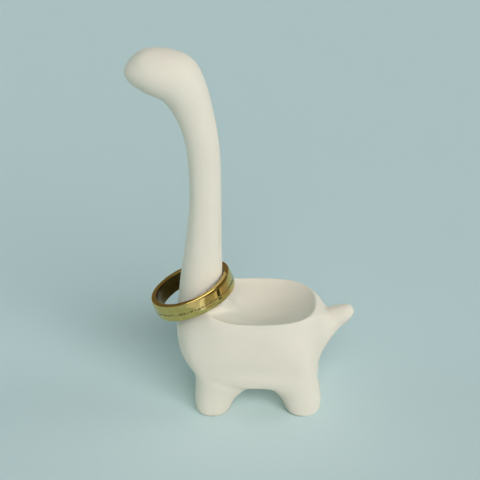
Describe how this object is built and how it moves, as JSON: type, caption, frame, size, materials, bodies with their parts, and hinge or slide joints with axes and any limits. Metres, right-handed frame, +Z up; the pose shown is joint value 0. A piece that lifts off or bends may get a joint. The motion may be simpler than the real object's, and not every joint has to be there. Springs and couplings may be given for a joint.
{
  "type": "ring holder",
  "caption": "Small long-necked dinosaur figure that holds finger rings on its tall bent neck, with a shallow dish in its back and a plain gold band hung on the neck.",
  "frame": {"origin": "on the surface that the four soles stand on, under the middle of the length from head to tail, in the plane of symmetry", "axes": "+Z up, +X towards the tail and away from the head, +Y across the body"},
  "size_m": [0.0558, 0.0272, 0.0934],
  "materials": {
    "printed_white": "matte off-white, faint printed layers",
    "gold": "polished yellow gold"
  },
  "bodies": {
    "figure": {"figure": "printed_white"},
    "band": {"gold_band": "gold"}
  },
  "joints": [
    {"name": "band_slide", "type": "slide", "parent": "figure", "child": "band", "axis": [0, 0, 1], "range_m": [0, 0.04]}
  ]
}
